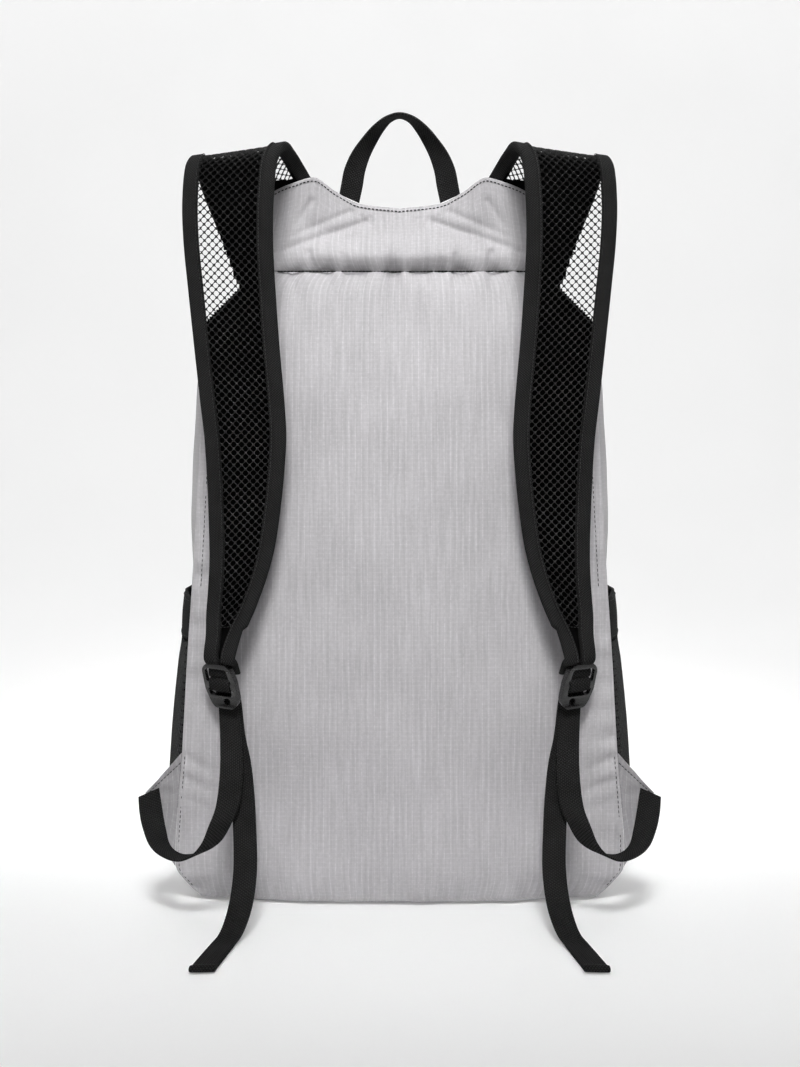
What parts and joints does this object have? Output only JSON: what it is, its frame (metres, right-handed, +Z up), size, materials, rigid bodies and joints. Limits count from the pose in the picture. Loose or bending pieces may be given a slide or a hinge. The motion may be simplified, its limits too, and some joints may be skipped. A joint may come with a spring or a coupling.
{
  "type": "packable backpack",
  "caption": "Light packable daypack in grey ripstop cloth, with black net shoulder straps, ladder-lock buckles, loose webbing tails, net side pockets and a haul loop.",
  "frame": {"origin": "on the floor, under the middle of the bag's flat base", "axes": "+Z up the bag, +X to the wearer's right as the strap side is seen, the strap side faces -Y"},
  "size_m": [0.346, 0.3061, 0.5333],
  "materials": {
    "grey_ripstop": "light coated ripstop cloth with a faint sheen",
    "grey_side_cloth": "light coated ripstop cloth, slightly darker",
    "black_net": "open black spacer net",
    "black_tape": "woven black binding tape",
    "black_webbing": "ribbed black webbing",
    "black_plastic": "moulded black acetal with a soft gloss",
    "zip_tape": "black coil zip on tape"
  },
  "bodies": {
    "root": {"back_panel": "grey_ripstop", "yoke": "grey_ripstop", "front_panel": "grey_ripstop", "base_panel": "grey_side_cloth", "top_gusset_back": "grey_ripstop", "top_gusset_front": "grey_ripstop", "top_zip": "zip_tape", "haul_loop": "black_webbing", "side_panel_right": "grey_side_cloth", "side_panel_left": "grey_side_cloth", "pocket_net_right": "black_net", "pocket_net_left": "black_net", "pocket_hem_right": "black_tape", "pocket_hem_left": "black_tape", "wing_tab_right": "grey_side_cloth", "wing_tab_left": "grey_side_cloth", "strap_net_right": "black_net", "strap_net_left": "black_net", "strap_binding_outer_right": "black_tape", "strap_binding_outer_left": "black_tape", "strap_binding_inner_right": "black_tape", "strap_binding_inner_left": "black_tape", "strap_end_loop_right": "black_webbing", "strap_end_loop_left": "black_webbing", "buckle_right": "black_plastic", "buckle_left": "black_plastic", "adjuster_webbing_right": "black_webbing", "adjuster_webbing_left": "black_webbing"}
  },
  "joints": []
}
